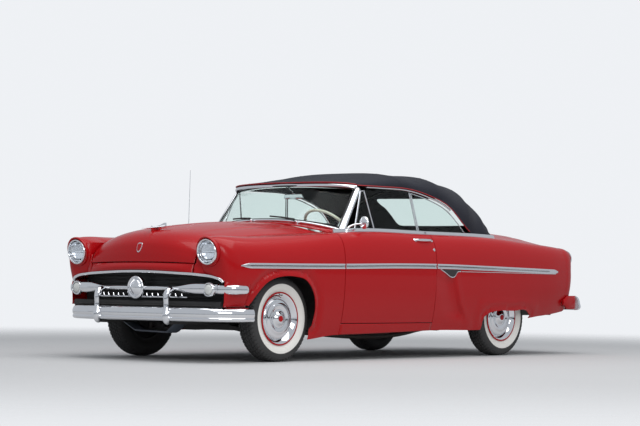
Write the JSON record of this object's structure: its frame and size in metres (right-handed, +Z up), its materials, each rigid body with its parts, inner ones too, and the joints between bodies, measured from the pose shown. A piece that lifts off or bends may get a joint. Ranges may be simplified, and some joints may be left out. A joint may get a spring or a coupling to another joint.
{
  "type": "convertible car",
  "caption": "Red full-size 1950s two-door convertible, dark soft top up, with opening doors, hood and deck lid, steering and turning wheels.",
  "frame": {"origin": "middle of the car's footprint, on the floor", "axes": "+Z up, -Y towards the car's front, +X towards its left side"},
  "size_m": [1.8626, 5.0335, 1.5773],
  "materials": {
    "body_paint": "deep gloss red",
    "chrome_trim": "polished",
    "top_cloth": "dark woven cloth",
    "tyre": "matte with a pale sidewall band in the render",
    "frame_paint": "satin black",
    "glass": "clear with a faint green tint",
    "red_lens": "ribbed lens",
    "seat_cover": "soft black cover",
    "cast": "rough",
    "wheel_rim_plastic": "ivory"
  },
  "bodies": {
    "shell": {"chassis_frame": "frame_paint", "cowl": "body_paint", "dashboard": "body_paint", "engine_bay": "frame_paint", "engine_block": "cast", "exhaust": "cast", "fender_left": "body_paint", "fender_right": "body_paint", "floor_pan": "frame_paint", "front_bumper": "chrome_trim", "front_seat": "seat_cover", "fuel_tank": "frame_paint", "gravel_pan": "body_paint", "grille_bar": "chrome_trim", "grille_surround": "chrome_trim", "grille_teeth": "chrome_trim", "headlamp_left": "chrome_trim", "headlamp_right": "chrome_trim", "nose_panel": "body_paint", "quarter_glass_left": "glass", "quarter_glass_right": "glass", "quarter_left": "body_paint", "quarter_right": "body_paint", "rear_axle": "frame_paint", "rear_bumper": "chrome_trim", "rear_deck": "body_paint", "rear_seat": "seat_cover", "rear_window": "glass", "soft_top": "top_cloth", "tail_lamp_left": "red_lens", "tail_lamp_right": "red_lens", "tail_panel": "body_paint", "windshield_frame": "chrome_trim", "windshield_glass": "glass"},
    "hood": {"hood": "body_paint"},
    "deck_lid": {"deck_lid": "body_paint"},
    "door_left": {"door_left": "body_paint", "door_glass_left": "glass"},
    "door_right": {"door_right": "body_paint", "door_glass_right": "glass"},
    "knuckle_left": {"knuckle_left": "cast"},
    "knuckle_right": {"knuckle_right": "cast"},
    "wheel_front_left": {"tyre_front_left": "tyre", "wheel_front_left": "chrome_trim"},
    "wheel_front_right": {"tyre_front_right": "tyre", "wheel_front_right": "chrome_trim"},
    "wheel_rear_left": {"tyre_rear_left": "tyre", "wheel_rear_left": "chrome_trim"},
    "wheel_rear_right": {"tyre_rear_right": "tyre", "wheel_rear_right": "chrome_trim"},
    "steering_wheel": {"steering_wheel": "wheel_rim_plastic"}
  },
  "joints": [
    {"name": "hood_hinge", "type": "hinge", "parent": "shell", "child": "hood", "pos_m": [0, -1.0535, 1.116], "axis": [-1, 0, 0], "range_deg": [0, 50]},
    {"name": "deck_lid_hinge", "type": "hinge", "parent": "shell", "child": "deck_lid", "pos_m": [0, 1.6525, 1.112], "axis": [1, 0, 0], "range_deg": [0, 70]},
    {"name": "door_left_hinge", "type": "hinge", "parent": "shell", "child": "door_left", "pos_m": [0.926, -1.0155, 0.65], "axis": [0, 0, -1], "range_deg": [0, 62]},
    {"name": "door_right_hinge", "type": "hinge", "parent": "shell", "child": "door_right", "pos_m": [-0.926, -1.0155, 0.65], "axis": [0, 0, 1], "range_deg": [0, 62]},
    {"name": "knuckle_left_steer", "type": "hinge", "parent": "shell", "child": "knuckle_left", "pos_m": [0.62, -1.6575, 0.336], "axis": [0, 0, 1], "range_deg": [-30, 30]},
    {"name": "knuckle_right_steer", "type": "hinge", "parent": "shell", "child": "knuckle_right", "pos_m": [-0.62, -1.6575, 0.336], "axis": [0, 0, 1], "range_deg": [-30, 30]},
    {"name": "steering_wheel_turn", "type": "hinge", "parent": "shell", "child": "steering_wheel", "pos_m": [0.4, -0.6425, 1.075], "axis": [0, 0.6875, 0.7262], "range_deg": [-600, 600]},
    {"name": "wheel_front_left_spin", "type": "hinge", "parent": "knuckle_left", "child": "wheel_front_left", "pos_m": [0.7365, -1.6575, 0.336], "axis": [1, 0, 0], "continuous": true},
    {"name": "wheel_front_right_spin", "type": "hinge", "parent": "knuckle_right", "child": "wheel_front_right", "pos_m": [-0.7365, -1.6575, 0.336], "axis": [1, 0, 0], "continuous": true},
    {"name": "wheel_rear_left_spin", "type": "hinge", "parent": "shell", "child": "wheel_rear_left", "pos_m": [0.711, 1.2765, 0.336], "axis": [1, 0, 0], "continuous": true},
    {"name": "wheel_rear_right_spin", "type": "hinge", "parent": "shell", "child": "wheel_rear_right", "pos_m": [-0.711, 1.2765, 0.336], "axis": [1, 0, 0], "continuous": true}
  ],
  "couplings": [
    {"joint": "knuckle_right_steer", "follows": "knuckle_left_steer", "ratio": 1},
    {"joint": "steering_wheel_turn", "follows": "knuckle_left_steer", "ratio": 20}
  ]
}
